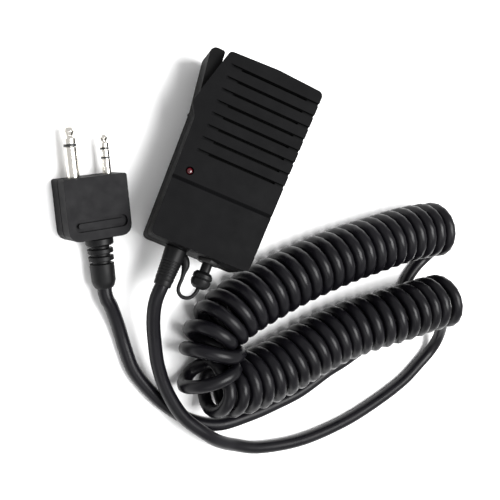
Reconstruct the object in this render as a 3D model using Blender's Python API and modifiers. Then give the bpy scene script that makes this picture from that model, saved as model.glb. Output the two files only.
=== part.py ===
"""A speaker microphone for a handheld radio, with its curly cord and two-pin plug, lying on a table.

The handset rests on the flat lever of its swivelled belt clip, so it leans 21.5 degrees to its left.
Handset pieces are modelled in the handset's own axes (x across, y towards the top, z out of the
face, zero at the middle of the back) and are children of an empty that leans them.
All numbers are millimetres and are turned into metres where a mesh is made. +Z is up and the
table is at z = 0.
"""

import math

import bmesh
import bpy
from mathutils import Matrix, Vector

MM = 0.001

# ---- driving dimensions -------------------------------------------------------------------------
LEAN = math.radians(21.5)
HANDSET_AT = (4.34, 6.11, 6.39)
BODY_DEPTH = 19.5
PARTING = 9.0
SEAM = 0.3
WALL = 1.5
FACE_WALL = 1.9
BACK_WALL = 1.6
FACE = ((14.2, -28, 1.6), (16.1, 28, 1.6), (1.5, 28.6, 12), (-13.1, 27.8, 1.2),
        (-17.8, 10.2, 1.3), (-15.6, 6.4, 1.5), (-15, -28, 1.6))
BACK = ((14.2, -28, 1.6), (16.1, 28, 1.6), (1.5, 28.6, 12), (-16, 27.8, 1.6), (-15, -28, 1.6))
CAVITY = ((12.6, -26.5, 1), (14.5, 26.5, 1), (-10.7, 26.4, 1), (-10.7, 1.6, 0.8),
          (-14.1, 1.6, 0.8), (-13.5, -26.5, 1))

SLOT_COUNT = 8
SLOT_PITCH = 3.7
TOP_SLOT_Y = 24.1
SLOT_WIDTH = 0.9
SLOT_LEFT = -10.9
SLOT_DEPTH = 1.1
SLIT = (-8.0, 12.4)
DIVIDER_Y = -11.1

LED_AT = (-11.3, -8.1)
SPEAKER_AT = (1.9, 11.3)
CAPSULE_AT = (5.5, -5.2)
JACK_X, JACK_Z = 4.2, 10.6
GLAND_X, GLAND_Z = -5.6, 10.2
GLAND_END = -39.9
SCREWS = ((12.6, 24.6), (-8.9, 24.6), (11.0, -24.8), (-12.1, -24.8))

BAY_X, BAY_Y, BAY_FLOOR, BAY_TOP = -12.2, 8.5, 4.0, 17.2
PTT_PIVOT = (-14.4, 10.7)
SWITCH_AT = (-7.8, 18.0, 10.6)

SWIVEL_AT = (1.5, 3.0)
CLIP_PIN = (8.8, 3.3)
CLIP_WIDTH = 15.0
LEVER_LEFT, LEVER_RIGHT = -5.2, 18.4

CORD = 4.1
COIL_RADIUS = 9.7

PLUG_AT = (-28.98, -20.40)
PLUG_TURN = math.radians(30.9)
PLUG_WIDTH, PLUG_HEIGHT, PLUG_DEPTH = 18.6, 17.2, 9.0
PIN_35_X, PIN_25_X, PIN_Z = -4.5, 5.5, 4.5
PLUG_GLAND_X = 1.0
PLUG_TOP = PLUG_HEIGHT / 2

# ---- cord routes: points on the centre of each length, on the table or above it -----------------
MIC_LEAD = ((-4.6, -34.45, 13.7), (-4.5, -36.0, 13.4), (-3.6, -38.6, 12.5), (-1.1, -43.1, 10.7),
            (2.4, -48.3, 8.8),
            (7.3, -54.8, 7.4), (13.9, -60.9, 6.8), (22.8, -66.5, 6.5), (33.2, -69.3, 6.5),
            (40.0, -70.2, 4.9), (47.3, -69.9, 2.9), (57.7, -68.2, 2.1), (72.6, -61.8, 2.1), (87.1, -51.8, 2.1),
            (98.2, -41.5, 2.1), (108.0, -30.4, 2.1), (113.8, -20.8, 2.3), (115.3, -13.6, 3.6),
            (112.9, -7.8, 7.4))
PLUG_LEAD = ((97.7, 15.4, 5.2), (97.5, 11.2, 2.6), (95.6, 6.4, 2.1), (93.7, -1.0, 2.1),
             (92.2, -8.2, 2.1), (89.4, -16.2, 2.1), (85.0, -24.2, 2.1), (78.9, -31.6, 2.1),
             (73.4, -37.2, 2.1), (65.3, -46.7, 2.1), (57.3, -53.5, 2.1), (49.3, -59.5, 2.1),
             (38.9, -65.6, 2.1), (28.4, -67.0, 2.1), (18.0, -65.2, 2.1), (10.0, -62.6, 2.1),
             (3.4, -59.2, 2.1), (-1.1, -54.3, 2.1), (-4.7, -50.2, 2.2), (-8.2, -46.8, 2.9),
             (-12.4, -43.6, 4.0), (-14.6, -42.2, 4.4), (-15.8, -40.4, 4.5))
COIL_RUN_LOW = ((102.8, 1.1, 13.9), (94.4, -3.8, 13.9), (84.3, -10.6, 13.8), (75.3, -17.0, 12.2),
                (66.9, -23.6, 10.4), (59.2, -30.6, 9.8), (52.2, -37.6, 9.75), (45.6, -44.0, 9.75))
COIL_FOLD_AT = (27.3, -43.7, 11.2)
COIL_FOLD_RADIUS = 10.9
COIL_FOLD_FROM, COIL_FOLD_TO = math.radians(305), math.radians(140)
COIL_RUN_HIGH = ((24.4, -31.2, 10.0), (31.3, -23.4, 9.75), (42.4, -12.3, 9.75), (56.2, -0.7, 9.75),
                 (65.7, 6.4, 9.75), (75.6, 13.7, 9.75), (83.9, 19.0, 9.75), (91.6, 23.1, 9.75))


# ---- scene --------------------------------------------------------------------------------------
for leftover in list(bpy.data.objects):
    bpy.data.objects.remove(leftover, do_unlink=True)

PARTS = bpy.data.collections.new("hand_microphone")
CUTTERS = bpy.data.collections.new("cutters")
for collection in (PARTS, CUTTERS):
    bpy.context.scene.collection.children.link(collection)


def material(name, colour, roughness, metallic=0.0):
    made = bpy.data.materials.new(name)
    made.use_nodes = True
    shader = made.node_tree.nodes["Principled BSDF"]
    shader.inputs["Base Color"].default_value = (*colour, 1.0)
    shader.inputs["Roughness"].default_value = roughness
    shader.inputs["Metallic"].default_value = metallic
    return made


CASE_BLACK = material("case_black", (0.018, 0.018, 0.020), 0.62)
BUTTON_RUBBER = material("button_rubber", (0.014, 0.014, 0.015), 0.75)
SOFT_PVC = material("soft_pvc", (0.012, 0.012, 0.014), 0.38)
PLUG_BLACK = material("plug_black", (0.035, 0.035, 0.037), 0.6)
NICKEL = material("nickel", (0.80, 0.77, 0.72), 0.18, 1.0)
STEEL = material("steel", (0.45, 0.45, 0.46), 0.35, 1.0)
INSULATOR = material("insulator", (0.01, 0.01, 0.01), 0.4)
LED_RED = material("led_red", (0.35, 0.01, 0.02), 0.15)
BOARD_GREEN = material("board_green", (0.02, 0.12, 0.05), 0.5)
MAGNET = material("magnet", (0.30, 0.29, 0.28), 0.4, 0.8)
PAPER = material("cone_paper", (0.06, 0.06, 0.06), 0.85)
MESH_CLOTH = material("mesh_cloth", (0.02, 0.02, 0.02), 0.9)


def frame_empty(name, at, turn):
    empty = bpy.data.objects.new(name, None)
    empty.location = [value * MM for value in at]
    empty.rotation_euler = turn
    PARTS.objects.link(empty)
    return empty


HANDSET = frame_empty("handset_frame", HANDSET_AT, (0, -LEAN, 0))
PLUG = frame_empty("plug_frame", (*PLUG_AT, 0), (0, 0, PLUG_TURN))
CORD_FRAME = frame_empty("cord_frame", (0, 0, 0), (0, 0, 0))


# ---- shapes -------------------------------------------------------------------------------------
def add(name, mesh, finish, frame, origin=(0, 0, 0)):
    """Make the mesh a part of the object, with its origin at this point of its frame."""
    mesh.name = name
    shift = Vector(origin) * MM
    mesh.transform(Matrix.Translation(-shift))
    mesh.materials.clear()
    mesh.materials.append(finish)
    mesh.shade_smooth()
    mesh.set_sharp_from_angle(angle=math.radians(32))
    part = bpy.data.objects.new(name, mesh)
    part.parent = frame
    part.location = shift
    PARTS.objects.link(part)
    return part


def tidied(mesh, weld=1e-6):
    work = bmesh.new()
    work.from_mesh(mesh)
    bmesh.ops.remove_doubles(work, verts=work.verts, dist=weld)
    bmesh.ops.recalc_face_normals(work, faces=work.faces)
    work.to_mesh(mesh)
    work.free()
    return mesh


def evaluated_mesh(data, modifiers=()):
    """The mesh that a curve or a mesh gives with these modifiers, welded and facing out."""
    guide = bpy.data.objects.new("guide", data)
    CUTTERS.objects.link(guide)
    for kind, settings in modifiers:
        modifier = guide.modifiers.new(kind.lower(), kind)
        for key, value in settings.items():
            setattr(modifier, key, value)
    bpy.context.view_layer.update()
    graph = bpy.context.evaluated_depsgraph_get()
    mesh = bpy.data.meshes.new_from_object(guide.evaluated_get(graph))
    bpy.data.objects.remove(guide, do_unlink=True)
    return tidied(mesh)


def joined(*meshes):
    work = bmesh.new()
    for mesh in meshes:
        work.from_mesh(mesh)
    result = bpy.data.meshes.new("joined")
    work.to_mesh(result)
    work.free()
    return result


def box(x0, x1, y0, y1, z0, z1):
    work = bmesh.new()
    size = Matrix.Diagonal(((x1 - x0) * MM, (y1 - y0) * MM, (z1 - z0) * MM, 1))
    middle = Matrix.Translation(Vector((x0 + x1, y0 + y1, z0 + z1)) * MM / 2)
    bmesh.ops.create_cube(work, size=1, matrix=middle @ size)
    mesh = bpy.data.meshes.new("box")
    work.to_mesh(mesh)
    work.free()
    return mesh


def rod(start, end, radius, sides=24, end_radius=None):
    """A cylinder or cone from one point to another."""
    start, end = Vector(start) * MM, Vector(end) * MM
    along = end - start
    turn = Vector((0, 0, 1)).rotation_difference(along).to_matrix().to_4x4()
    work = bmesh.new()
    bmesh.ops.create_cone(
        work, cap_ends=True, segments=sides, radius1=radius * MM,
        radius2=(radius if end_radius is None else end_radius) * MM, depth=along.length,
        matrix=Matrix.Translation((start + end) / 2) @ turn)
    mesh = bpy.data.meshes.new("rod")
    work.to_mesh(mesh)
    work.free()
    return mesh


def corner_arc(before, corner, after, radius, step=math.radians(22)):
    """The points of a fillet of this radius at a corner of an outline."""
    here, back, ahead = Vector(corner), Vector(before), Vector(after)
    arm_in, arm_out = (back - here).normalized(), (ahead - here).normalized()
    half = arm_in.angle(arm_out) / 2
    reach = min(radius / math.tan(half), 0.45 * (back - here).length, 0.45 * (ahead - here).length)
    centre = here + (arm_in + arm_out).normalized() * reach / math.cos(half)
    first, last = here + arm_in * reach - centre, here + arm_out * reach - centre
    sweep = math.pi - 2 * half
    steps = max(1, round(sweep / step))
    side = 1 if arm_in.cross(arm_out) < 0 else -1
    return [centre + Matrix.Rotation(side * sweep * i / steps, 2) @ first for i in range(steps)] + [
        centre + last]


def outline(corners):
    """Points round an outline whose corners are (x, y, fillet radius)."""
    points = []
    for i, (x, y, radius) in enumerate(corners):
        before, after = corners[i - 1][:2], corners[(i + 1) % len(corners)][:2]
        points += corner_arc(before, (x, y), after, radius) if radius else [Vector((x, y))]
    return points


def inset(corners, distance):
    """The same outline, going round anticlockwise, moved in by this distance."""
    moved = []
    for i, (x, y, radius) in enumerate(corners):
        here = Vector((x, y))
        into = (here - Vector(corners[i - 1][:2])).normalized()
        out = (Vector(corners[(i + 1) % len(corners)][:2]) - here).normalized()
        turn = into.cross(out)
        left_in, left_out = Vector((-into.y, into.x)), Vector((-out.y, out.x))
        shift = (left_in + left_out) * distance / (1 + left_in.dot(left_out))
        moved.append((*(here + shift), max(0.2, radius - distance if turn > 0 else radius + distance)))
    return moved


def slab(low, high, *outlines):
    """A plate between two heights; a second outline is a hole in it."""
    curve = bpy.data.curves.new("slab", "CURVE")
    curve.dimensions = "2D"
    curve.fill_mode = "BOTH"
    curve.extrude = (high - low) / 2 * MM
    for corners in outlines:
        points = outline(corners)
        spline = curve.splines.new("POLY")
        spline.points.add(len(points) - 1)
        for knot, point in zip(spline.points, points):
            knot.co = (point.x * MM, point.y * MM, 0, 1)
        spline.use_cyclic_u = True
    mesh = evaluated_mesh(curve)
    mesh.transform(Matrix.Translation((0, 0, (low + high) / 2 * MM)))
    return mesh


def turned(profile, steps, start, direction):
    """A profile of (radius, distance along) turned about the axis from start in this direction."""
    mesh = bpy.data.meshes.new("profile")
    points = [(radius * MM, 0, along * MM) for radius, along in profile]
    closed = profile[0][0] > 0 or profile[-1][0] > 0
    edges = [(i, i + 1) for i in range(len(points) - 1)] + ([(len(points) - 1, 0)] if closed else [])
    mesh.from_pydata(points, edges, [])
    solid = evaluated_mesh(mesh, [("SCREW", {
        "steps": steps, "render_steps": steps, "use_merge_vertices": True, "merge_threshold": 1e-6})])
    turn = Vector((0, 0, 1)).rotation_difference(Vector(direction)).to_matrix().to_4x4()
    solid.transform(Matrix.Translation(Vector(start) * MM) @ turn)
    return tidied(solid)


def tube(points, radius, bevel_resolution):
    curve = bpy.data.curves.new("tube", "CURVE")
    curve.dimensions = "3D"
    curve.bevel_depth = radius * MM
    curve.bevel_resolution = bevel_resolution
    curve.use_fill_caps = True
    spline = curve.splines.new("POLY")
    spline.points.add(len(points) - 1)
    for knot, point in zip(spline.points, points):
        knot.co = (*(Vector(point) * MM), 1)
    return evaluated_mesh(curve)


def smooth_route(points, spacing):
    """Evenly spaced points on a smooth curve that passes through the given points."""
    knots = [Vector(p) for p in points]
    knots = [2 * knots[0] - knots[1]] + knots + [2 * knots[-1] - knots[-2]]
    fine = []
    for a, b, c, d in zip(knots, knots[1:], knots[2:], knots[3:]):
        for i in range(20):
            t = i / 20
            fine.append(0.5 * (2 * b + (c - a) * t + (2 * a - 5 * b + 4 * c - d) * t * t
                               + (3 * b - a - 3 * c + d) * t ** 3))
    fine.append(knots[-2])
    lengths = [0.0]
    for a, b in zip(fine, fine[1:]):
        lengths.append(lengths[-1] + (b - a).length)
    count = max(2, round(lengths[-1] / spacing))
    result, j = [], 0
    for i in range(count + 1):
        wanted = lengths[-1] * i / count
        while j < len(fine) - 2 and lengths[j + 1] < wanted:
            j += 1
        share = (wanted - lengths[j]) / (lengths[j + 1] - lengths[j])
        result.append(fine[j].lerp(fine[j + 1], min(1.0, share)))
    return result


# ---- modifiers ----------------------------------------------------------------------------------
def bevel(part, width, segments=2, angle=40):
    modifier = part.modifiers.new("bevel", "BEVEL")
    modifier.width = width * MM
    modifier.segments = segments
    modifier.limit_method = "ANGLE"
    modifier.angle_limit = math.radians(angle)


def combine(part, mesh, operation, name):
    """Cut the mesh from the part, or join it on. The cutter keeps the part's own frame."""
    cutter = bpy.data.objects.new(name, mesh)
    cutter.parent = part.parent
    cutter.hide_render = True
    cutter.display_type = "WIRE"
    CUTTERS.objects.link(cutter)
    modifier = part.modifiers.new(name, "BOOLEAN")
    modifier.operation = operation
    modifier.object = cutter


def cut(part, name, *meshes):
    combine(part, joined(*meshes), "DIFFERENCE", f"cut_{name}")


def join(part, name, *meshes):
    combine(part, joined(*meshes), "UNION", f"join_{name}")


# ---- handset shells -----------------------------------------------------------------------------
def slot_cutter(y):
    """A groove with a ramp at its left end, which runs out to the right."""
    top, floor = BODY_DEPTH + 1, BODY_DEPTH - SLOT_DEPTH
    side = ((SLOT_LEFT - 1.0, top), (SLOT_LEFT - 1.0, BODY_DEPTH + 0.1), (SLOT_LEFT + 0.5, floor),
            (18, floor), (18, top))
    mesh = slab(-SLOT_WIDTH / 2, SLOT_WIDTH / 2, [(x, z, 0) for x, z in side])
    stand_up = Matrix.Rotation(math.radians(90), 4, "X")
    mesh.transform(Matrix.Translation((0, y * MM, 0)) @ stand_up)
    return mesh


def fitting_holes():
    jack = rod((JACK_X, -24, JACK_Z), (JACK_X, -30, JACK_Z), 2.95, 20)
    gland = rod((GLAND_X, -24, GLAND_Z), (GLAND_X, -30, GLAND_Z), 3.25, 16)
    window = box(-14, -9, 15.4, 20.6, 7.6, 13.4)
    return jack, gland, window


front_cover = add("front_cover", slab(PARTING + SEAM / 2, BODY_DEPTH, FACE), CASE_BLACK, HANDSET)
bevel(front_cover, 0.35, 1, 60)
cut(front_cover, "front_cavity", slab(PARTING - 1, BODY_DEPTH - FACE_WALL, CAVITY))
cut(front_cover, "front_bay", box(-30, BAY_X, BAY_Y, 40, PARTING - 1, BAY_TOP))
join(front_cover, "front_bosses", *[
    rod((x, y, PARTING + SEAM / 2), (x, y, BODY_DEPTH - FACE_WALL + 0.4), 2.4, 16)
    for x, y in SCREWS])
cut(front_cover, "side_groove", slab(
    BAY_TOP, BAY_TOP + 0.4, ((40, -40, 0), (40, 40, 0), (-40, 40, 0), (-40, -40, 0)),
    inset(FACE, 0.45)))
slot_rows = [TOP_SLOT_Y - SLOT_PITCH * i for i in range(SLOT_COUNT)]
cut(front_cover, "slots", *[slot_cutter(y) for y in slot_rows])
cut(front_cover, "slits", *[
    box(*SLIT, y - SLOT_WIDTH / 2 + 0.1, y + SLOT_WIDTH / 2 - 0.1, BODY_DEPTH - FACE_WALL - 0.6,
        BODY_DEPTH - SLOT_DEPTH + 0.3) for y in slot_rows])
divider = box(-20, 20, -0.4, 0.4, -0.4, 0.4)
divider.transform(Matrix.Translation((0, DIVIDER_Y * MM, BODY_DEPTH * MM))
                  @ Matrix.Rotation(math.radians(45), 4, "X"))
cut(front_cover, "divider", divider)
for number, hole in enumerate(fitting_holes(), 1):
    cut(front_cover, f"front_fitting_{number}", hole)
cut(front_cover, "front_holes",
    rod((*LED_AT, 16), (*LED_AT, 21), 1.2, 16),
    rod((*PTT_PIVOT, BAY_TOP - 1), (*PTT_PIVOT, BAY_TOP + 1), 0.75, 12),
    *[rod((x, y, PARTING - 1), (x, y, 15), 1.2, 12) for x, y in SCREWS])

rear_cover = add("rear_cover", slab(0, PARTING - SEAM / 2, BACK), CASE_BLACK, HANDSET)
bevel(rear_cover, 0.9, 2, 60)
cut(rear_cover, "rear_cavity", slab(BACK_WALL, PARTING + 1, CAVITY))
cut(rear_cover, "rear_bay", box(-30, BAY_X, BAY_Y, 40, BAY_FLOOR, PARTING + 1))
join(rear_cover, "rear_bosses", *[
    rod((x, y, 0.9), (x, y, PARTING - SEAM / 2), 2.4, 16) for x, y in SCREWS])
for number, hole in enumerate(fitting_holes(), 1):
    cut(rear_cover, f"rear_fitting_{number}", hole)
cut(rear_cover, "rear_holes",
    rod((*SWIVEL_AT, -1), (*SWIVEL_AT, 3), 1.6, 16),
    rod((*PTT_PIVOT, 2.4), (*PTT_PIVOT, 6), 0.75, 12))
cut(rear_cover, "screw_holes", *[rod((x, y, -1), (x, y, 10), 1.2, 12) for x, y in SCREWS])
cut(rear_cover, "counterbores", *[rod((x, y, -1), (x, y, 1.5), 2.15, 16) for x, y in SCREWS])

for number, (x, y) in enumerate(SCREWS, 1):
    screw = [(0, 0.25), (1.2, 0.25), (1.85, 0.6), (1.85, 1.3), (0.9, 1.3), (0.9, 13.6), (0, 14.2)]
    add(f"case_screw_{number}", turned(screw, 12, (x, y, 0), (0, 0, 1)), STEEL, HANDSET)

# ---- speaker, microphone, board -----------------------------------------------------------------
cloth = ((12.8, -4.0, 1), (12.8, 21.6, 1), (9.8, 21.6, 0.5), (9.8, 25.6, 1), (-6.1, 25.6, 1),
         (-6.1, 21.6, 0.5), (-9.6, 21.6, 1), (-9.6, -4.0, 1))
add("dust_mesh", slab(17.15, 17.45, cloth), MESH_CLOTH, HANDSET)

basket = [(11.5, 16.9), (11.5, 15.9), (10.4, 15.7), (7.8, 12.4), (7.8, 11.4), (3.0, 11.4),
          (3.0, 12.0), (7.2, 12.0), (9.9, 15.9), (10.3, 16.9)]
add("speaker_frame", turned(basket, 32, (*SPEAKER_AT, 0), (0, 0, 1)), STEEL, HANDSET)
magnet = [(0, 8.2), (4.9, 8.2), (5.2, 8.5), (5.2, 10.8), (4.9, 11.1), (0, 11.1)]
add("speaker_magnet", turned(magnet, 24, (*SPEAKER_AT, 0), (0, 0, 1)), MAGNET, HANDSET)
cone = [(0, 14.9), (1.6, 14.6), (2.8, 13.6), (8.9, 16.1), (9.7, 16.6), (9.7, 16.9), (8.8, 16.5),
        (3.0, 14.2), (1.7, 15.1), (0, 15.4)]
add("speaker_cone", turned(cone, 32, (*SPEAKER_AT, 0), (0, 0, 1)), PAPER, HANDSET)

capsule = [(0, 13.0), (2.7, 13.0), (2.9, 13.2), (2.9, 16.2), (1.0, 16.2), (1.0, 16.0), (0, 16.0)]
add("mic_capsule", turned(capsule, 20, (*CAPSULE_AT, 0), (0, 0, 1)), NICKEL, HANDSET)
boot = [(1.2, 12.0), (3.9, 12.0), (3.9, 17.0), (1.5, 17.0), (1.5, 16.4), (3.1, 16.4), (3.1, 12.8),
        (1.2, 12.8)]
add("capsule_boot", turned(boot, 20, (*CAPSULE_AT, 0), (0, 0, 1)), BUTTON_RUBBER, HANDSET)

board = ((12.2, -21.5, 0.5), (12.2, 21.5, 0.5), (-10.2, 21.5, 0.5), (-10.2, 1.0, 0),
         (-13.0, 1.0, 0.5), (-13.0, -21.5, 0.5))
add("circuit_board", slab(6.2, 7.4, board), BOARD_GREEN, HANDSET)

led = [(0, 8.0), (1.3, 8.0), (1.3, 9.6), (0.95, 9.6), (0.95, 18.6), (0.82, 18.95), (0.45, 19.2),
       (0, 19.3)]
add("led_lens", turned(led, 16, (*LED_AT, 0), (0, 0, 1)), LED_RED, HANDSET)

# ---- push-to-talk lever, its pin and its switch -------------------------------------------------
LEVER = ((-13.0, 9.2, 0.5), (-14.1, 27.9, 0.8), (-18.4, 27.9, 2.2), (-15.9, 9.2, 1.0))
ptt_lever = add("ptt_lever", slab(BAY_FLOOR + SEAM, BAY_TOP - SEAM, LEVER), BUTTON_RUBBER,
                HANDSET, (*PTT_PIVOT, 0))
bevel(ptt_lever, 0.5, 2, 60)
rib_x, rib_y, rib_z = SWITCH_AT[0] - 3.9, SWITCH_AT[1], SWITCH_AT[2]
join(ptt_lever, "ptt_rib", box(-15, rib_x, rib_y - 1.4, rib_y + 1.4, rib_z - 1.5, rib_z + 1.5))
cut(ptt_lever, "ptt_bore", rod((*PTT_PIVOT, 2), (*PTT_PIVOT, 19), 0.7, 16))
add("ptt_pivot_pin", rod((*PTT_PIVOT, 2.7), (*PTT_PIVOT, 17.9), 0.6, 16), STEEL, HANDSET)

sx, sy, sz = SWITCH_AT
switch_body = add("ptt_switch_body", box(sx - 1.6, sx + 1.4, sy - 3, sy + 3, 7.7, sz + 1.9),
                  INSULATOR, HANDSET)
cut(switch_body, "switch_bore", rod((sx - 3, sy, sz), (sx + 0.9, sy, sz), 1.15, 16))
add("ptt_switch_plunger", rod((sx - 3.6, sy, sz), (sx, sy, sz), 1.0, 16), NICKEL, HANDSET,
    (sx - 3.6, sy, sz))

# ---- earphone jack, its cap and tether ----------------------------------------------------------
jack_box = add("earphone_jack", box(JACK_X - 4, JACK_X + 4, -25.8, -13.5, JACK_Z - 3.1, JACK_Z + 3.4),
               INSULATOR, HANDSET)
join(jack_box, "jack_barrel", rod((JACK_X, -25, JACK_Z), (JACK_X, -28.9, JACK_Z), 2.6, 20))
cut(jack_box, "jack_bore", rod((JACK_X, -15, JACK_Z), (JACK_X, -32, JACK_Z), 1.8, 20))
nut = [(2.75, 0), (3.3, 0), (3.3, 0.5), (3.05, 0.9), (2.75, 0.9)]
add("jack_nut", turned(nut, 20, (JACK_X, -28.2, JACK_Z), (0, -1, 0)), STEEL, HANDSET)
cap = [(0, -7.0), (1.3, -7.0), (1.6, -6.5), (1.6, 0), (2.95, 0), (2.95, 1.8), (2.7, 2.0), (2.95, 2.2),
       (2.9, 3.4), (2.2, 4.6), (1.2, 5.0), (0, 5.0)]
jack_cap = add("jack_cap", turned(cap, 20, (JACK_X, -30.9, JACK_Z), (0, -1, 0)), SOFT_PVC, HANDSET,
               (JACK_X, -30.9, JACK_Z))
TETHER = ((-1.0, -33.9, 10.2), (-0.55, -35.6, 10.1), (-1.0, -37.4, 9.9), (-0.6, -39.0, 9.8),
          (0.65, -40.0, 9.8), (2.2, -40.1, 9.9), (3.5, -39.0, 10.1), (4.1, -37.6, 10.3),
          (4.2, -36.3, 10.5))
add("cap_tether", tube(smooth_route(TETHER, 1.0), 0.62, 1), SOFT_PVC, HANDSET)

# ---- strain relief ------------------------------------------------------------------------------
relief = [(0, 3.6), (3.7, 3.6), (3.7, 2.0), (2.95, 2.0), (2.95, 0), (3.15, -0.4), (2.95, -9.4),
          (2.75, -9.7), (2.75, -11.0), (2.5, -11.4), (0, -11.4)]
strain_relief = add("strain_relief", turned(relief, 24, (GLAND_X, -28.2, GLAND_Z), (0, 1, 0)),
                    SOFT_PVC, HANDSET)
FIN = ((-5, -29.4, 0), (-1.7, -29.6, 0.5), (-0.4, -31.4, 0.6), (-0.4, -33.5, 0.4),
       (-1.6, -33.5, 0.4), (-2.6, -32.6, 0.8), (-5, -34.5, 0))
join(strain_relief, "relief_fin", slab(GLAND_Z - 0.8, GLAND_Z + 0.8, FIN[::-1]))

# ---- belt clip ----------------------------------------------------------------------------------
LEAN_TURN = Matrix.Rotation(-LEAN, 3, "Y")


def handset_point(world_x, world_z):
    """The handset's own x and z of a point given in world x and z."""
    offset = Vector((world_x - HANDSET_AT[0], 0, world_z - HANDSET_AT[2]))
    local = LEAN_TURN.transposed() @ offset
    return local.x, local.z


CLIP_Y = HANDSET_AT[1] + SWIVEL_AT[1]
PIN_X, PIN_UP = CLIP_PIN
pin_x, pin_z = handset_point(PIN_X, PIN_UP)

stud = [(0, 2.7), (2.8, 2.7), (2.8, 1.9), (1.4, 1.9), (1.4, -1.25), (2.3, -1.25), (2.3, -1.8), (0, -1.8)]
add("clip_stud", turned(stud, 16, (*SWIVEL_AT, 0), (0, 0, 1)), STEEL, HANDSET)
base_disc = [(1.6, -0.3), (7.2, -0.3), (7.2, -1.6), (6.9, -1.9), (2.6, -1.9), (2.6, -1.1), (1.6, -1.1)]
clip_base = add("clip_base", turned(base_disc, 32, (*SWIVEL_AT, 0), (0, 0, 1)), CASE_BLACK, HANDSET,
                (*SWIVEL_AT, 0))
for side in (-1, 1):
    ear_y = SWIVEL_AT[1] + side * 4.6
    ear = box(-1.6, 1.6, -0.6, 0.6, -1.25, 3.2)
    ear.transform(Matrix.Translation(Vector((pin_x, ear_y, pin_z)) * MM))
    join(clip_base, f"base_ear_{side + 2}", ear)
cut(clip_base, "base_bore", rod((pin_x, SWIVEL_AT[1] - 9, pin_z), (pin_x, SWIVEL_AT[1] + 9, pin_z), 0.95, 16))
add("clip_pin", rod((PIN_X, CLIP_Y - 7.2, PIN_UP), (PIN_X, CLIP_Y + 7.2, PIN_UP), 0.8, 16), STEEL,
    CORD_FRAME, (PIN_X, CLIP_Y, PIN_UP))

half = CLIP_WIDTH / 2
pad = ((LEVER_RIGHT, CLIP_Y - half, 2.5), (LEVER_RIGHT, CLIP_Y + half, 2.5),
       (LEVER_LEFT, CLIP_Y + half, 1.0), (LEVER_LEFT, CLIP_Y - half, 1.0))
clip_lever = add("clip_lever", slab(0, 1.3, pad), STEEL, CORD_FRAME, (PIN_X, CLIP_Y, PIN_UP))
bevel(clip_lever, 0.25, 1, 60)
for side in (-1, 1):
    ear_y = CLIP_Y + side * 6.4
    join(clip_lever, f"lever_ear_{side + 2}",
         box(PIN_X - 2.0, PIN_X + 2.0, ear_y - 0.6, ear_y + 0.6, 0.7, PIN_UP + 1.7))
join(clip_lever, "lever_jaw", box(LEVER_LEFT, LEVER_LEFT + 1.1, CLIP_Y - 6.5, CLIP_Y + 6.5, 0.7, 2.2))
cut(clip_lever, "lever_bore", rod((PIN_X, CLIP_Y - 9, PIN_UP), (PIN_X, CLIP_Y + 9, PIN_UP), 0.95, 16))

SPRING_TURNS, SPRING_STEPS = 5, 9
spring = []
for i in range(SPRING_TURNS * SPRING_STEPS + 1):
    angle = 2 * math.pi * i / SPRING_STEPS
    along = CLIP_Y - 2.6 + 5.2 * i / (SPRING_TURNS * SPRING_STEPS)
    spring.append((PIN_X + 1.25 * math.sin(angle), along, PIN_UP - 1.25 * math.cos(angle)))
add("clip_spring", tube(spring, 0.27, 1), STEEL, CORD_FRAME)

# ---- cord ---------------------------------------------------------------------------------------
add("mic_lead", tube(smooth_route(MIC_LEAD, 9), CORD / 2, 2), SOFT_PVC, CORD_FRAME)
add("plug_lead", tube(smooth_route(PLUG_LEAD, 9), CORD / 2, 2), SOFT_PVC, CORD_FRAME)


def coil_centre():
    """The centreline of the whole coil: one run, a fold over an arc, and the run back."""
    steps = 7
    cx, cy, cz = COIL_FOLD_AT
    fold = []
    for i in range(steps + 1):
        angle = COIL_FOLD_FROM + (COIL_FOLD_TO - COIL_FOLD_FROM) * i / steps
        lift = cz - 1.2 + 1.2 * math.sin(math.pi * i / steps)
        fold.append((cx + COIL_FOLD_RADIUS * math.cos(angle), cy + COIL_FOLD_RADIUS * math.sin(angle), lift))
    return smooth_route([*COIL_RUN_LOW, *fold, *COIL_RUN_HIGH], 6)


add("curly_cord", tube(coil_centre(), COIL_RADIUS, 3), SOFT_PVC, CORD_FRAME)

# ---- plug ---------------------------------------------------------------------------------------
W = PLUG_WIDTH / 2
SHELL = ((W, -PLUG_TOP, 3), (W, PLUG_TOP, 0.7), (-W, PLUG_TOP, 0.7), (-W, -PLUG_TOP, 3))
HOLLOW = ((7.4, -6.6, 2), (7.4, 6.4, 0.5), (-7.4, 6.4, 0.5), (-7.4, -6.6, 2))


def plug_bores():
    return (rod((PIN_35_X, 5, PIN_Z), (PIN_35_X, 10, PIN_Z), 2.0, 16),
            rod((PIN_25_X, 5, PIN_Z), (PIN_25_X, 10, PIN_Z), 1.5, 16),
            rod((PLUG_GLAND_X, -5, PIN_Z), (PLUG_GLAND_X, -10, PIN_Z), 2.1, 16))


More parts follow.
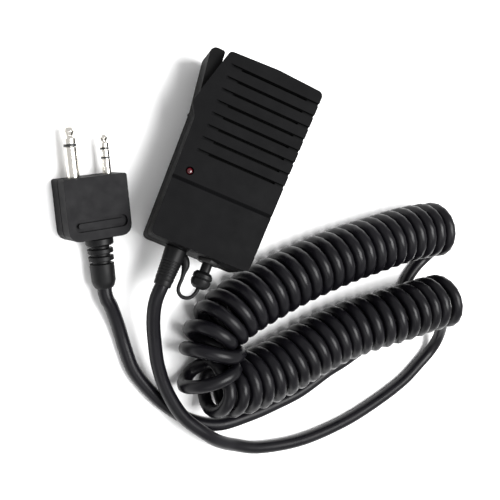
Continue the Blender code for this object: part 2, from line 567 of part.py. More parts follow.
front_shell = add("plug_front_shell", slab(PIN_Z + 0.15, PLUG_DEPTH, SHELL), PLUG_BLACK, PLUG)
bevel(front_shell, 0.6, 2, 60)
cut(front_shell, "plug_front_hollow", slab(PIN_Z - 1, PLUG_DEPTH - 1.9, HOLLOW))
recess = ((8.2, -6.1, 1.7), (8.2, -2.7, 1.7), (-7.4, -2.7, 1.7), (-7.4, -6.1, 1.7))
bar = ((7.2, -5.1, 0.65), (7.2, -3.7, 0.65), (-6.4, -3.7, 0.65), (-6.4, -5.1, 0.65))
cut(front_shell, "grip_recess", slab(PLUG_DEPTH - 0.9, PLUG_DEPTH + 1, recess, bar))
cut(front_shell, "plug_front_bores", *plug_bores())
rear_shell = add("plug_rear_shell", slab(0, PIN_Z - 0.15, SHELL), PLUG_BLACK, PLUG)
bevel(rear_shell, 0.6, 2, 60)
cut(rear_shell, "plug_rear_hollow", slab(1.6, PIN_Z + 1, HOLLOW))
cut(rear_shell, "plug_rear_bores", *plug_bores())

gland = [(0, 2.8), (2.4, 2.8), (2.4, 2.3), (1.8, 2.3), (1.8, -0.3), (3.9, -0.3), (3.9, -2.0), (3.3, -2.4),
         (2.6, -2.4), (2.6, -3.2), (3.6, -3.2), (3.6, -4.5), (2.6, -4.5), (2.6, -5.3), (3.55, -5.3),
         (3.55, -6.6), (2.6, -6.6), (2.6, -7.4), (3.45, -7.4), (3.4, -12.4), (2.9, -13.9), (2.4, -14.5),
         (0, -14.5)]
add("plug_strain_relief", turned(gland, 24, (PLUG_GLAND_X, -PLUG_TOP, PIN_Z), (0, 1, 0)), SOFT_PVC, PLUG)


def pin_piece(name, x, profile, finish=NICKEL):
    add(name, turned(profile, 20, (x, PLUG_TOP, PIN_Z), (0, 1, 0)), finish, PLUG)


pin_piece("pin_35_sleeve", PIN_35_X, [
    (1.0, -3.6), (2.6, -3.6), (2.6, -2.4), (1.75, -2.4), (1.75, 8.3), (1.0, 8.3)])
pin_piece("pin_35_insulator", PIN_35_X, [(1.0, 8.4), (1.75, 8.4), (1.75, 9.1), (1.0, 9.1)], INSULATOR)
pin_piece("pin_35_tip", PIN_35_X, [
    (0, -4.4), (0.8, -4.4), (0.8, 9.2), (1.75, 9.2), (1.75, 10.6), (1.15, 11.4), (1.7, 12.5),
    (1.2, 13.6), (0.5, 14.0), (0, 14.0)])
pin_piece("pin_25_sleeve", PIN_25_X, [
    (0.8, -3.6), (1.65, -3.6), (1.65, -2.4), (1.25, -2.4), (1.25, 4.1), (0.8, 4.1)])
pin_piece("pin_25_insulator_low", PIN_25_X, [(0.8, 4.2), (1.25, 4.2), (1.25, 4.7), (0.8, 4.7)], INSULATOR)
pin_piece("pin_25_ring", PIN_25_X, [(0.8, 4.8), (1.25, 4.8), (1.25, 6.6), (0.8, 6.6)])
pin_piece("pin_25_insulator_high", PIN_25_X, [(0.8, 6.7), (1.25, 6.7), (1.25, 7.2), (0.8, 7.2)], INSULATOR)
pin_piece("pin_25_tip", PIN_25_X, [
    (0, -4.4), (0.6, -4.4), (0.6, 7.3), (1.25, 7.3), (1.25, 8.4), (0.8, 9.0), (1.2, 9.9),
    (0.8, 10.7), (0.35, 11.0), (0, 11.0)])
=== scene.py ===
"""Looks of a speaker microphone with its curly cord and jack plug, on a white table."""

import math

import bmesh
import bpy
import numpy as np
from mathutils import Matrix, Vector


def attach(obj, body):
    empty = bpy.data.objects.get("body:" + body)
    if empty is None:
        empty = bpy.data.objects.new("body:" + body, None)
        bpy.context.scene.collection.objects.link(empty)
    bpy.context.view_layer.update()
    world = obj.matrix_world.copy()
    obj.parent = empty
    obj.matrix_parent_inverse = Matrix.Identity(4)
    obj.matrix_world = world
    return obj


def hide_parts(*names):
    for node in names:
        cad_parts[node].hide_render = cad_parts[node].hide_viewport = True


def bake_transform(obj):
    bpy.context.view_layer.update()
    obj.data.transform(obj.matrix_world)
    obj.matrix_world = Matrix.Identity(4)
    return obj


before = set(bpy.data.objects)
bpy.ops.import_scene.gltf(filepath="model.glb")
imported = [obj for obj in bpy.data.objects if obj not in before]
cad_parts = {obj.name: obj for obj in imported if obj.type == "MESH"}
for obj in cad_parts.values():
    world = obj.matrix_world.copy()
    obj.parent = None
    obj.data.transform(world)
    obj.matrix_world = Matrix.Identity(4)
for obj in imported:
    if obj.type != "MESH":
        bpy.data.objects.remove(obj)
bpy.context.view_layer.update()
MM = 0.001
UP = Vector((0, 0, 1))

# ---- frames of the object, as the CAD places them ------------------------------------------------
LEAN = math.radians(21.5)
HANDSET_AT = Vector((4.34, 6.11, 6.39)) * MM
HANDSET = Matrix.Translation(HANDSET_AT) @ Matrix.Rotation(-LEAN, 4, "Y")
PLUG_TURN = math.radians(30.9)
PLUG = Matrix.Translation(Vector((-28.98, -20.40, 0)) * MM) @ Matrix.Rotation(PLUG_TURN, 4, "Z")


# ---- camera --------------------------------------------------------------------------------------
CAMERA_AT = Vector((-127.76, -48.88, 235.32)) * MM
ROLL, TILT_SIDE, TILT_DOWN = map(math.radians, (21.68, 33.98, -5.45))
FOCAL_LENGTH, SENSOR_WIDTH = 64.8, 36
NEAREST_SEEN = 0.01


def camera_turn():
    """Which way the camera faces: down, rolled about the upright, then tilted sideways and down."""
    along = Vector((math.cos(ROLL), math.sin(ROLL), 0))
    across = Vector((-math.sin(ROLL), math.cos(ROLL), 0))
    back = (UP - math.tan(TILT_SIDE) * along - math.tan(TILT_DOWN) * across).normalized()
    right = (along - back * along.dot(back)).normalized()
    return Matrix((right, back.cross(right), back)).transposed()


camera = bpy.data.objects.new("camera", bpy.data.cameras.new("camera"))
camera.data.lens = FOCAL_LENGTH
camera.data.sensor_width = SENSOR_WIDTH
camera.data.clip_start = NEAREST_SEEN
camera.matrix_world = Matrix.Translation(CAMERA_AT) @ camera_turn().to_4x4()
bpy.context.scene.collection.objects.link(camera)
bpy.context.scene.camera = camera


# ---- materials -----------------------------------------------------------------------------------
class Look:
    """A Principled material with helpers for the nodes that feed it."""

    def __init__(self, name, colour, roughness, **settings):
        self.material = bpy.data.materials.new(name)
        self.material.use_nodes = True
        self.nodes = self.material.node_tree.nodes
        self.links = self.material.node_tree.links
        self.shader = self.nodes["Principled BSDF"]
        self.shader.inputs["Base Color"].default_value = (*colour, 1)
        self.shader.inputs["Roughness"].default_value = roughness
        for key, value in settings.items():
            self.shader.inputs[key.replace("_", " ")].default_value = value
        self.place = self.nodes.new("ShaderNodeTexCoord").outputs["Object"]
        self.bumped = None

    def noise(self, scale, detail=3.0, roughness=0.55, stretch=None):
        """Noise in the piece's own space, of this many waves a metre."""
        node = self.nodes.new("ShaderNodeTexNoise")
        node.inputs["Scale"].default_value = scale
        node.inputs["Detail"].default_value = detail
        node.inputs["Roughness"].default_value = roughness
        source = self.place
        if stretch:
            mapping = self.nodes.new("ShaderNodeMapping")
            mapping.inputs["Scale"].default_value = stretch
            self.links.new(source, mapping.inputs["Vector"])
            source = mapping.outputs["Vector"]
        self.links.new(source, node.inputs["Vector"])
        return node.outputs["Fac"]

    def spread(self, value, low, high, start=0.3, end=0.7):
        """The value's middle range, start to end, taken to low to high."""
        node = self.nodes.new("ShaderNodeMapRange")
        node.inputs["From Min"].default_value = start
        node.inputs["From Max"].default_value = end
        node.inputs["To Min"].default_value = low
        node.inputs["To Max"].default_value = high
        self.links.new(value, node.inputs["Value"])
        return node.outputs["Result"]

    def shade(self, value, dark, light):
        """The base colour runs from dark to light with the value."""
        node = self.nodes.new("ShaderNodeMix")
        node.data_type = "RGBA"
        node.inputs["A"].default_value = (*dark, 1)
        node.inputs["B"].default_value = (*light, 1)
        self.links.new(value, node.inputs["Factor"])
        self.links.new(node.outputs["Result"], self.shader.inputs["Base Color"])
        return self

    def rough(self, value):
        self.links.new(value, self.shader.inputs["Roughness"])
        return self

    def bump(self, value, distance, strength=1.0):
        """The value raises the surface by up to this distance, on top of any earlier bump."""
        node = self.nodes.new("ShaderNodeBump")
        node.inputs["Distance"].default_value = distance * MM
        node.inputs["Strength"].default_value = strength
        self.links.new(value, node.inputs["Height"])
        if self.bumped:
            self.links.new(self.bumped, node.inputs["Normal"])
        self.bumped = node.outputs["Normal"]
        self.links.new(self.bumped, self.shader.inputs["Normal"])
        return self


def moulded(name, dark, light, roughness, specular, grain=0.012, grain_scale=4200):
    """A fine-textured moulded plastic with slight unevenness of tone and gloss."""
    tone_scale, gloss_scale = 90, 260
    smoothest, roughest = roughness - 0.05, roughness + 0.06
    look = Look(name, dark, roughness, Specular_IOR_Level=specular)
    look.shade(look.spread(look.noise(tone_scale, 5), 0, 1), dark, light)
    look.rough(look.spread(look.noise(gloss_scale, 4), smoothest, roughest))
    look.bump(look.noise(grain_scale, 2), grain)
    return look.material


def metal(name, colour, low, high, stretch=(1, 1, 1), scratch=0.004):
    """A metal with this colour, a roughness from low to high, and scratches drawn out by the stretch."""
    tone_scale, gloss_scale, scratch_scale, harshness = 140, 700, 1500, 0.6
    tarnished = [0.9 * channel for channel in colour]
    look = Look(name, colour, low, Metallic=1.0)
    look.shade(look.spread(look.noise(tone_scale, 4), 0, 1), tarnished, colour)
    look.rough(look.spread(look.noise(gloss_scale, 4, harshness, stretch), low, high))
    look.bump(look.noise(scratch_scale, 3, harshness, stretch), scratch)
    return look.material


CASE = moulded("case_plastic", (0.0022, 0.0022, 0.0025), (0.0032, 0.0032, 0.0036), 0.62, 0.07)
REAR_CASE = moulded("rear_case_plastic", (0.0016, 0.0016, 0.0018), (0.0024, 0.0024, 0.0026), 0.6, 0.06)
LEVER = moulded("lever_rubber", (0.0024, 0.0024, 0.0026), (0.0036, 0.0036, 0.0038), 0.68, 0.1, 0.01, 3000)
PLUG_PLASTIC = moulded("plug_plastic", (0.0032, 0.0030, 0.0037), (0.0050, 0.0048, 0.0057), 0.55, 0.10,
                       grain=0.014, grain_scale=3600)
RELIEF = moulded("relief_pvc", (0.0026, 0.0026, 0.0029), (0.0040, 0.0040, 0.0044), 0.45, 0.16, 0.006, 1800)
JACK_BLACK = moulded("jack_plastic", (0.006, 0.006, 0.006), (0.009, 0.009, 0.009), 0.45, 0.4)
RING_BLACK = moulded("ring_plastic", (0.006, 0.006, 0.006), (0.010, 0.010, 0.010), 0.35, 0.5, 0.002)
NICKEL = metal("nickel", (0.82, 0.79, 0.73), 0.12, 0.24)
STEEL = metal("steel", (0.36, 0.36, 0.37), 0.3, 0.5, (1, 12, 1))
BOARD = moulded("board", (0.008, 0.05, 0.02), (0.015, 0.09, 0.035), 0.4, 0.5)
MAGNET = metal("magnet", (0.28, 0.27, 0.26), 0.35, 0.6)
PAPER = moulded("cone_paper", (0.03, 0.03, 0.03), (0.05, 0.05, 0.05), 0.9, 0.2, 0.03, 1500)


def cloth():
    """A woven mesh: two crossed waves of threads."""
    threads_scale, thread_height = 700, 0.08
    look = Look("mesh_cloth", (0.004, 0.004, 0.004), 0.95, Specular_IOR_Level=0.1)
    waves = []
    for axis in "XY":
        wave = look.nodes.new("ShaderNodeTexWave")
        wave.bands_direction = axis
        wave.inputs["Scale"].default_value = threads_scale
        look.links.new(look.place, wave.inputs["Vector"])
        waves.append(wave.outputs["Fac"])
    weave = look.nodes.new("ShaderNodeMath")
    weave.operation = "MULTIPLY"
    look.links.new(waves[0], weave.inputs[0])
    look.links.new(waves[1], weave.inputs[1])
    look.shade(weave.outputs[0], (0.002, 0.002, 0.002), (0.012, 0.012, 0.012))
    look.bump(weave.outputs[0], thread_height)
    return look.material


def cord_pvc():
    """Soft vinyl with a slight bluish sheen, uneven in tone and gloss."""
    tone_scale, gloss_scale, dent_scale, dent = 60, 180, 500, 0.02
    dark, light = (0.0026, 0.0024, 0.0034), (0.0044, 0.0041, 0.0056)
    look = Look("cord_pvc", (0.003, 0.003, 0.004), 0.3, Specular_IOR_Level=0.18)
    look.shade(look.spread(look.noise(tone_scale, 5), 0, 1), dark, light)
    look.rough(look.spread(look.noise(gloss_scale, 5), 0.25, 0.40))
    look.bump(look.noise(dent_scale, 4), dent)
    return look.material


def lens_red():
    """Dark red plastic under a thin clear coat."""
    tone_scale, dent_scale, dent = 500, 900, 0.004
    dark, light = (0.03, 0.0006, 0.002), (0.08, 0.002, 0.007)
    look = Look("lens_red", (0.12, 0.003, 0.01), 0.2, Coat_Weight=0.2, Coat_Roughness=0.08)
    look.shade(look.spread(look.noise(tone_scale, 2), 0, 1), dark, light)
    look.bump(look.noise(dent_scale, 2), dent)
    return look.material


CLOTH, CORD, LENS = cloth(), cord_pvc(), lens_red()


# ---- cord ----------------------------------------------------------------------------------------
CORD_RADIUS = 2.05
TURN_RADIUS = 7.6
MIC_LEAD = ((-4.6, -33.2, 13.85), (-4.6, -34.8, 13.7), (-4.3, -37.0, 13.1), (-3.2, -40.0, 12.0),
            (-0.8, -44.0, 10.4), (2.6, -48.6, 8.9), (7.5, -54.8, 7.5), (13.9, -60.9, 6.8),
            (22.8, -66.5, 6.5), (33.2, -69.3, 6.3), (40.0, -70.2, 4.7), (47.3, -69.9, 2.8),
            (57.7, -68.2, 2.1), (72.6, -61.8, 2.1), (87.1, -51.8, 2.1), (98.2, -41.5, 2.1),
            (108.0, -30.4, 2.1), (113.2, -21.6, 2.2), (115.6, -15.6, 3.0), (114.8, -10.9, 5.2),
            (111.6, -7.6, 8.2), (108.3, -5.8, 10.8))
PLUG_LEAD = ((97.3, 17.2, 5.6), (97.6, 15.0, 3.6), (96.8, 12.2, 2.4), (95.3, 8.9, 2.1),
             (93.9, 4.6, 2.1), (93.2, -1.8, 2.1), (92.0, -8.4, 2.1), (89.4, -16.2, 2.1),
             (85.0, -24.2, 2.1), (78.9, -31.6, 2.1), (73.4, -37.2, 2.1), (65.3, -46.7, 2.1),
             (57.3, -53.5, 2.1), (49.3, -59.5, 2.1), (38.9, -65.6, 2.1), (28.4, -67.0, 2.1),
             (18.0, -65.2, 2.1), (10.0, -62.2, 2.1), (3.4, -58.6, 2.1), (-1.1, -54.3, 2.1),
             (-4.7, -50.4, 2.2), (-8.2, -47.0, 2.9), (-12.2, -43.7, 4.0), (-14.6, -42.1, 4.4),
             (-15.8, -40.45, 4.5), (-16.5, -39.3, 4.5))
COIL_RUN_LOW = ((102.8, 1.1, 13.9), (94.4, -3.8, 13.9), (84.3, -10.6, 13.8), (75.3, -17.0, 12.2),
                (66.9, -23.6, 10.4), (59.2, -30.6, 9.8), (52.2, -37.6, 9.75), (45.6, -44.0, 9.75))
# The coil folds sharply: the centre and the axis of each turn there, from the low run to the high one.
FOLD_TURNS = (((37.0, -50.6, 9.7), (-0.86, -0.46, 0.12)), ((30.6, -53.8, 9.6), (-0.93, -0.28, 0.22)),
              ((25.2, -54.6, 9.6), (-0.93, -0.20, 0.32)), ((22.4, -50.6, 10.6), (-0.52, 0.82, 0.24)),
              ((20.4, -45.0, 10.8), (0.02, 0.99, 0.10)), ((20.0, -38.9, 10.3), (0.50, 0.86, 0.05)))
COIL_RUN_HIGH = ((24.4, -31.2, 10.0), (31.3, -23.4, 9.75), (42.4, -12.3, 9.75), (56.2, -0.7, 9.75),
                 (65.7, 6.4, 9.75), (75.6, 13.7, 9.75), (83.9, 19.0, 9.75), (91.6, 23.1, 9.75))
TURNS = 44
FIRST_ANGLE, LAST_ANGLE = math.radians(-15), math.radians(197)
POINTS_PER_TURN = 18
CENTRE_SPACING, LEAD_SPACING = 0.5, 2.0
# The turns' spacing along the coil, and what is added to it in the fold and at the first turn.
PITCH, FOLD_PITCH, FIRST_TURN_PITCH = 4.55, 2.3, 2.6
FOLD_MIDDLE, FOLD_SIZE = Vector((23.0, -51.5, 10.4)), 6
# The share of the coil's centre line over which the first turn opens.
FIRST_TURN_SHARE = 1.2 / 46
# How strongly and how far each turn of the fold holds its own axis.
FOLD_WEIGHT, FOLD_REACH = 3, 2.8
# Settling: the least distance between two stretches of cord, and how it is reached.
CORD_GAP = 4.14
SETTLE_ROUNDS, SETTLE_STEP, SMOOTH_PASSES = 60, 0.35, 3
# Points this few steps apart are one stretch of cord. This many points of each lead move with the coil.
SAME_STRETCH, SETTLED_LEAD_POINTS = 5, 4


def evenly(marks, count):
    """For count + 1 even shares of the last mark: the mark before each, and how far on it is to the next."""
    before = 0
    for step in range(count + 1):
        wanted = marks[-1] * step / count
        while before < len(marks) - 2 and marks[before + 1] < wanted:
            before += 1
        yield before, min(1.0, (wanted - marks[before]) / (marks[before + 1] - marks[before]))


def smooth_route(points, spacing):
    """Evenly spaced points on a smooth curve that passes through the given points."""
    steps = 20
    knots = [Vector(p) for p in points]
    knots = [2 * knots[0] - knots[1]] + knots + [2 * knots[-1] - knots[-2]]
    fine = []
    for a, b, c, d in zip(knots, knots[1:], knots[2:], knots[3:]):
        for i in range(steps):
            t = i / steps
            fine.append(0.5 * (2 * b + (c - a) * t + (2 * a - 5 * b + 4 * c - d) * t * t
                               + (3 * b - a - 3 * c + d) * t ** 3))
    fine.append(knots[-2])
    lengths = [0.0]
    for a, b in zip(fine, fine[1:]):
        lengths.append(lengths[-1] + (b - a).length)
    count = max(2, round(lengths[-1] / spacing))
    return [fine[i].lerp(fine[i + 1], share) for i, share in evenly(lengths, count)]


def coil_centre():
    """The line through the middles of the turns: the low run, the fold and the high run."""
    fold = [centre for centre, _ in FOLD_TURNS]
    return smooth_route([*COIL_RUN_LOW, *fold, *COIL_RUN_HIGH], CENTRE_SPACING)


def pitch_at(place, share):
    """How far apart the turns are: close in the runs, open in the fold and at the first turn."""
    in_fold = math.exp(-((place - FOLD_MIDDLE).length / FOLD_SIZE) ** 4)
    at_first_turn = math.exp(-(share / FIRST_TURN_SHARE) ** 2)
    return PITCH + FOLD_PITCH * in_fold + FIRST_TURN_PITCH * at_first_turn


def turn_axis(place, ahead):
    """The axis of the turn at this place: along the centre line, except where the coil folds."""
    axis = ahead.copy()
    for centre, fold_axis in FOLD_TURNS:
        weight = FOLD_WEIGHT * math.exp(-((place - Vector(centre)).length / FOLD_REACH) ** 2)
        axis += weight * Vector(fold_axis).normalized()
    return axis.normalized()


def settled(points, first, last):
    """The cord's points, those from first to last pushed a cord's width apart and none below the table."""
    place = np.array(points)
    order = np.arange(len(place))
    apart = np.abs(np.subtract.outer(order, order)) > SAME_STRETCH
    for _ in range(SETTLE_ROUNDS):
        gap = place[:, None, :] - place[None, :, :]
        distance = np.linalg.norm(gap, axis=2) + 1e-9
        push = np.where(apart & (distance < CORD_GAP), (CORD_GAP - distance) / distance, 0.0)
        move = SETTLE_STEP * (push[:, :, None] * gap).sum(axis=1)
        for _ in range(SMOOTH_PASSES):
            move[1:-1] = 0.25 * move[:-2] + 0.5 * move[1:-1] + 0.25 * move[2:]
        move[:first] = 0
        move[last:] = 0
        place += move
        place[:, 2] = np.maximum(place[:, 2], CORD_RADIUS)
    return [Vector(point) for point in place]


def coil():
    """The cord's own path round the coil's centre line."""
    # The line's direction is taken over this many points each way.
    reach = 3
    centre = coil_centre()
    along = [0.0]
    for i in range(1, len(centre)):
        step = (centre[i] - centre[i - 1]).length
        along.append(along[-1] + step / pitch_at(centre[i], i / len(centre)))
    total = math.tau * TURNS + LAST_ANGLE - FIRST_ANGLE
    points = []
    count = round(total / math.tau * POINTS_PER_TURN)
    for k, (i, share) in enumerate(evenly(along, count)):
        middle = centre[i].lerp(centre[i + 1], share)
        ahead = (centre[min(i + reach, len(centre) - 1)] - centre[max(i - reach, 0)]).normalized()
        axis = turn_axis(middle, ahead)
        side = UP.cross(axis).normalized()
        over = axis.cross(side)
        angle = FIRST_ANGLE + total * k / count
        points.append(middle + TURN_RADIUS * (math.cos(angle) * side + math.sin(angle) * over))
    return points


turns = coil()
# Each lead is drawn through the coil's two nearest points, and then stops short of them.
lead_in = smooth_route([*MIC_LEAD, turns[0], turns[1]], LEAD_SPACING)[:-2]
lead_out = smooth_route([turns[-2], turns[-1], *PLUG_LEAD], LEAD_SPACING)[2:]
first_settled = len(lead_in) - SETTLED_LEAD_POINTS
last_settled = len(lead_in) + len(turns) + SETTLED_LEAD_POINTS
route = settled(lead_in + turns + lead_out, first_settled, last_settled)

curve = bpy.data.curves.new("cord", "CURVE")
curve.dimensions = "3D"
curve.bevel_depth = CORD_RADIUS * MM
curve.bevel_resolution = 6
curve.use_fill_caps = True
spline = curve.splines.new("POLY")
spline.points.add(len(route) - 1)
for knot, point in zip(spline.points, route):
    knot.co = (*(point * MM), 1)
cord = bpy.data.objects.new("cord", curve)
curve.materials.append(CORD)
bpy.context.scene.collection.objects.link(cord)
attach(cord, "handset")
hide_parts("mic_lead", "curly_cord", "plug_lead")


# ---- CAD nodes that stay: finished materials and softened edges ----------------------------------
FINISHES = {
    CASE: ("front_cover", "clip_base"),
    REAR_CASE: ("rear_cover",),
    LEVER: ("ptt_lever", "capsule_boot"),
    PLUG_PLASTIC: ("plug_front_shell", "plug_rear_shell"),
    JACK_BLACK: ("earphone_jack", "jack_nut", "ptt_switch_body"),
    NICKEL: ("mic_capsule", "ptt_switch_plunger"),
    STEEL: ("case_screw_1", "case_screw_2", "case_screw_3", "case_screw_4", "clip_lever", "clip_pin",
            "clip_spring", "clip_stud", "ptt_pivot_pin", "speaker_frame"),
    MAGNET: ("speaker_magnet",),
    PAPER: ("speaker_cone",),
    BOARD: ("circuit_board",),
    CLOTH: ("dust_mesh",),
}
for finish, names in FINISHES.items():
    for name in names:
        for material_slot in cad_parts[name].material_slots:
            material_slot.material = finish

# The radius, in millimetres, of each moulded piece's eased edges.
SOFT_EDGES = {"front_cover": 0.18, "rear_cover": 0.2, "ptt_lever": 0.3, "plug_front_shell": 0.25,
              "plug_rear_shell": 0.2, "clip_lever": 0.15, "clip_base": 0.15}
SOFT_EDGE_CORNER, FINE_EDGE_CORNER = math.radians(35), math.radians(30)


def soften(piece, radius, corner):
    """Rounds the piece's edges that turn by more than the corner's angle."""
    modifier = piece.modifiers.new("soft_edges", "BEVEL")
    modifier.width = radius * MM
    modifier.segments = 2
    modifier.limit_method = "ANGLE"
    modifier.angle_limit = corner
    modifier.harden_normals = True


for name, radius in SOFT_EDGES.items():
    soften(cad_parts[name], radius, SOFT_EDGE_CORNER)


# ---- turned pieces, made finer than the CAD's facets ---------------------------------------------
def turned(profile, start, direction, steps=72):
    """A profile of (radius, distance along), turned about the axis that runs from start in the direction.

    A profile that starts on the axis makes a solid, and one that starts off it makes a hollow ring.
    """
    work = bmesh.new()
    rings = []
    hollow = profile[0][0] > 0
    for radius, along in profile:
        if radius == 0:
            rings.append([work.verts.new((0, 0, along * MM))])
            continue
        angles = [math.tau * i / steps for i in range(steps)]
        ring = [(radius * math.cos(angle), radius * math.sin(angle), along) for angle in angles]
        rings.append([work.verts.new(Vector(point) * MM) for point in ring])
    for low, high in zip(rings, rings[1:] + rings[:1] if hollow else rings[1:]):
        for i in range(steps):
            below = [low[i % len(low)], low[(i + 1) % len(low)]]
            above = [high[(i + 1) % len(high)], high[i % len(high)]]
            work.faces.new(list(dict.fromkeys(below + above)))
    bmesh.ops.recalc_face_normals(work, faces=work.faces)
    mesh = bpy.data.meshes.new("turned")
    work.to_mesh(mesh)
    work.free()
    turn = UP.rotation_difference(Vector(direction)).to_matrix().to_4x4()
    mesh.transform(Matrix.Translation(Vector(start) * MM) @ turn)
    return mesh


def fine_piece(name, mesh, place, finish, body, slot, edge, *stands_for):
    """A detailed piece that replaces CAD nodes, with its edges rounded by the edge's radius if it has one."""
    mesh.transform(place)
    mesh.name = name
    mesh.materials.append(finish)
    mesh.shade_smooth()
    piece = bpy.data.objects.new(name, mesh)
    bpy.context.scene.collection.objects.link(piece)
    if edge:
        soften(piece, edge, FINE_EDGE_CORNER)
    if body:
        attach(piece, body)
    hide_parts(*stands_for)
    return piece


def swept(points, radii, sides=20):
    """A closed tube through the points, with a radius at each."""
    work = bmesh.new()
    rings, side = [], UP
    for i, point in enumerate(points):
        ahead = (points[min(i + 1, len(points) - 1)] - points[max(i - 1, 0)]).normalized()
        side = (side - ahead * side.dot(ahead)).normalized()
        over = ahead.cross(side)
        angles = [math.tau * k / sides for k in range(sides)]
        ring = [point + radii[i] * (math.cos(angle) * side + math.sin(angle) * over) for angle in angles]
        rings.append([work.verts.new(corner * MM) for corner in ring])
    for low, high in zip(rings, rings[1:]):
        for k in range(sides):
            work.faces.new((low[k], low[(k + 1) % sides], high[(k + 1) % sides], high[k]))
    work.faces.new(rings[0])
    work.faces.new(rings[-1])
    bmesh.ops.recalc_face_normals(work, faces=work.faces)
    mesh = bpy.data.meshes.new("swept")
    work.to_mesh(mesh)
    work.free()
    return mesh


# ---- plug: pins and ribbed gland, from profiles of (radius, distance from the plug's end face) ----
PIN_Z, PLUG_END = 4.5, 8.6
PIN_35_X, PIN_25_X, PLUG_GLAND_X = -4.5, 5.5, 1.0
# For each pin's piece: its place across the plug, look, slot, edge radius and profile.
PIN_PARTS = {
    "pin_35_sleeve": (PIN_35_X, NICKEL, "nickel", 0.1, (
        (1.0, -3.6), (2.6, -3.6), (2.6, -2.4), (1.75, -2.4), (1.75, 8.3), (1.0, 8.3))),
    "pin_35_insulator": (PIN_35_X, RING_BLACK, "insulator", 0.06, (
        (1.0, 8.4), (1.75, 8.4), (1.75, 9.1), (1.0, 9.1))),
    "pin_35_tip": (PIN_35_X, NICKEL, "nickel", 0.12, (
        (0, -4.4), (0.8, -4.4), (0.8, 9.2), (1.75, 9.2), (1.75, 10.6), (1.15, 11.4), (1.7, 12.5),
        (1.2, 13.6), (0.5, 14.0), (0, 14.0))),
    "pin_25_sleeve": (PIN_25_X, NICKEL, "nickel", 0.08, (
        (0.8, -3.6), (1.65, -3.6), (1.65, -2.4), (1.25, -2.4), (1.25, 4.1), (0.8, 4.1))),
    "pin_25_insulator_low": (PIN_25_X, RING_BLACK, "insulator", 0.05, (
        (0.8, 4.2), (1.25, 4.2), (1.25, 4.7), (0.8, 4.7))),
    "pin_25_ring": (PIN_25_X, NICKEL, "nickel", 0.06, ((0.8, 4.8), (1.25, 4.8), (1.25, 6.6), (0.8, 6.6))),
    "pin_25_insulator_high": (PIN_25_X, RING_BLACK, "insulator", 0.05, (
        (0.8, 6.7), (1.25, 6.7), (1.25, 7.2), (0.8, 7.2))),
    "pin_25_tip": (PIN_25_X, NICKEL, "nickel", 0.1, (
        (0, -4.4), (0.6, -4.4), (0.6, 7.3), (1.25, 7.3), (1.25, 8.4), (0.8, 9.0), (1.2, 9.9),
        (0.8, 10.7), (0.35, 11.0), (0, 11.0))),
}
for node_name, (x, finish, slot, edge, profile) in PIN_PARTS.items():
    mesh = turned(profile, (x, PLUG_END, PIN_Z), (0, 1, 0))
    pin = fine_piece(f"{node_name}_fine", mesh, PLUG, finish, "handset", slot, edge, node_name)
PLUG_GLAND = (
    (0, 2.8), (2.4, 2.8), (2.4, 2.3), (1.8, 2.3), (1.8, -0.3), (3.9, -0.3), (3.9, -2.0), (3.3, -2.4),
    (2.6, -2.4), (2.6, -3.2), (3.6, -3.2), (3.6, -4.5), (2.6, -4.5), (2.6, -5.3), (3.55, -5.3),
    (3.55, -6.6), (2.6, -6.6), (2.6, -7.4), (3.45, -7.4), (3.4, -12.4), (2.9, -13.9), (2.4, -14.5),
    (0, -14.5))
mesh = turned(PLUG_GLAND, (PLUG_GLAND_X, -PLUG_END, PIN_Z), (0, 1, 0))
gland = fine_piece("plug_gland_ribbed", mesh, PLUG, RELIEF, "handset", "soft_pvc", 0.2, "plug_strain_relief")

# ---- handset: the cord's sleeve, the jack's cap on its tether and the indicator ------------------
GLAND_AT, CAP_AT, LED_AT = (-5.6, -28.2, 10.2), (4.2, -30.6, 10.6), (-11.3, -8.1, 0)
SLEEVE_RADIUS, SLEEVE_TAPER = 3.25, 0.065
RIDGE_COUNT, RIDGE_FROM, RIDGE_STEP, RIDGE_DEPTH = 6, 4.0, 0.85, 0.12
GROOVE_FROM, GROOVE_TO, RIDGE_END, RIDGE_FALL = 0.15, 0.35, 0.5, 0.03
sleeve = [(0, 3.6), (3.7, 3.6), (3.7, 2.0), (2.95, 2.0), (2.95, 0), (SLEEVE_RADIUS, -0.3)]
for ridge in range(RIDGE_COUNT):
    low = RIDGE_FROM + RIDGE_STEP * ridge
    radius = SLEEVE_RADIUS - SLEEVE_TAPER * low
    sleeve += [(radius, -low), (radius - RIDGE_DEPTH, -low - GROOVE_FROM),
               (radius - RIDGE_DEPTH, -low - GROOVE_TO), (radius - RIDGE_FALL, -low - RIDGE_END)]
sleeve += [(2.62, -9.7), (2.52, -9.85), (2.52, -11.0), (2.4, -11.4), (0, -11.4)]
# The tether starts as the fin on the sleeve: (x, y, radius) along it, all at one height.
TETHER_Z, TETHER_SPACING, LEAST_REACH = 10.3, 0.5, 1e-6
FIN_TOP = ((-3.0, -29.6, 1.15), (-1.9, -30.9, 1.3), (-1.35, -32.2, 1.15), (-1.25, -33.4, 0.8),
           (-1.15, -34.6, 0.62))
TETHER = ((-1.05, -35.8, 0.58), (-1.1, -37.3, 0.55), (-1.0, -38.6, 0.55), (-0.4, -39.7, 0.55),
          (0.7, -40.35, 0.55), (2.1, -40.3, 0.55), (3.3, -39.5, 0.55), (4.0, -38.2, 0.55),
          (4.25, -36.9, 0.6), (4.3, -35.9, 0.65))
mesh = turned(sleeve, GLAND_AT, (0, 1, 0))
fine_piece("relief_sleeve", mesh, HANDSET, RELIEF, "handset", "soft_pvc", 0.08, "strain_relief")
stations = FIN_TOP + TETHER
line = smooth_route([(x, y, TETHER_Z) for x, y, _ in stations], TETHER_SPACING)
radii = []
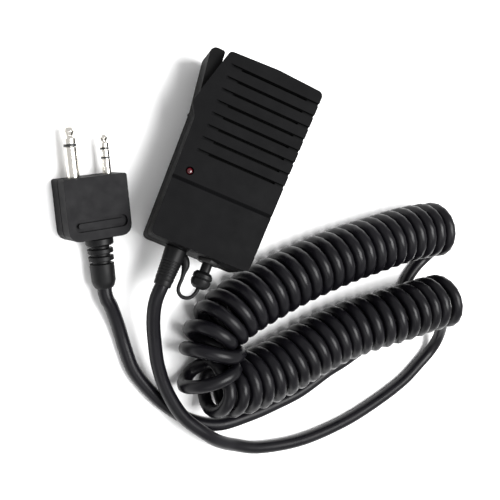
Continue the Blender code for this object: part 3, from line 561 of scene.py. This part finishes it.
for point in line:
    ranked = sorted((math.hypot(x - point.x, y - point.y), order) for order, (x, y, _) in enumerate(stations))
    (near, first), (far, second) = ranked[:2]
    near, far = near + LEAST_REACH, far + LEAST_REACH
    radii.append((stations[first][2] * far + stations[second][2] * near) / (near + far))
mesh = swept(line, radii)
tether = fine_piece("cap_tether_moulded", mesh, HANDSET, RELIEF, None, "soft_pvc", 0, "cap_tether")
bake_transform(tether)
CAP = ((0, -6.0), (1.3, -6.0), (1.5, -5.5), (1.5, 1.0), (2.1, 1.1), (2.85, 1.9), (2.9, 2.9), (2.65, 3.1),
       (2.65, 3.25), (2.9, 3.45), (2.85, 4.4), (2.45, 5.3), (1.6, 5.9), (0, 6.1))
mesh = turned(CAP, CAP_AT, (0, -1, 0))
fine_piece("jack_cap_moulded", mesh, HANDSET, RELIEF, "jack_cap", "soft_pvc", 0.12, "jack_cap")
LED = ((0, 8.0), (1.3, 8.0), (1.3, 9.6), (0.95, 9.6), (0.95, 18.75), (0.9, 18.95), (0.75, 19.12),
       (0.5, 19.24), (0.25, 19.29), (0, 19.3))
mesh = turned(LED, LED_AT, (0, 0, 1), 48)
fine_piece("led_dome", mesh, HANDSET, LENS, "handset", "led_red", 0, "led_lens")


# ---- floor and light -----------------------------------------------------------------------------
FLOOR_HALF_WIDTH = 1.5
LIGHTS_AIM = (0.03, 0, 0)
WORLD_STRENGTH = 0.72


def floor():
    """A plain white table top."""
    grain_scale, grain = 900, 0.005
    work = bmesh.new()
    bmesh.ops.create_grid(work, x_segments=12, y_segments=12, size=FLOOR_HALF_WIDTH)
    mesh = bpy.data.meshes.new("floor")
    work.to_mesh(mesh)
    work.free()
    plane = bpy.data.objects.new("floor", mesh)
    look = Look("floor_white", (0.92, 0.92, 0.92), 0.9, Specular_IOR_Level=0.1)
    look.bump(look.noise(grain_scale, 2), grain)
    mesh.materials.append(look.material)
    bpy.context.scene.collection.objects.link(plane)


def area_light(name, at, size, power):
    """A white soft box at this place, turned to the object."""
    light = bpy.data.lights.new(name, "AREA")
    light.shape = "RECTANGLE"
    light.size, light.size_y = size
    light.energy = power
    lamp = bpy.data.objects.new(name, light)
    lamp.location = at
    lamp.rotation_euler = (Vector(at) - Vector(LIGHTS_AIM)).to_track_quat("Z", "Y").to_euler()
    bpy.context.scene.collection.objects.link(lamp)


floor()
area_light("key", at=(0.20, 0.08, 0.80), size=(0.50, 0.50), power=12.5)
area_light("fill", at=(-0.1, -0.6, 0.7), size=(0.7, 0.4), power=1.5)
world = bpy.data.worlds.new("studio")
world.use_nodes = True
background = world.node_tree.nodes["Background"]
background.inputs["Color"].default_value = (1, 1, 1, 1)
background.inputs["Strength"].default_value = WORLD_STRENGTH
bpy.context.scene.world = world
bpy.context.scene.view_settings.view_transform = "Standard"
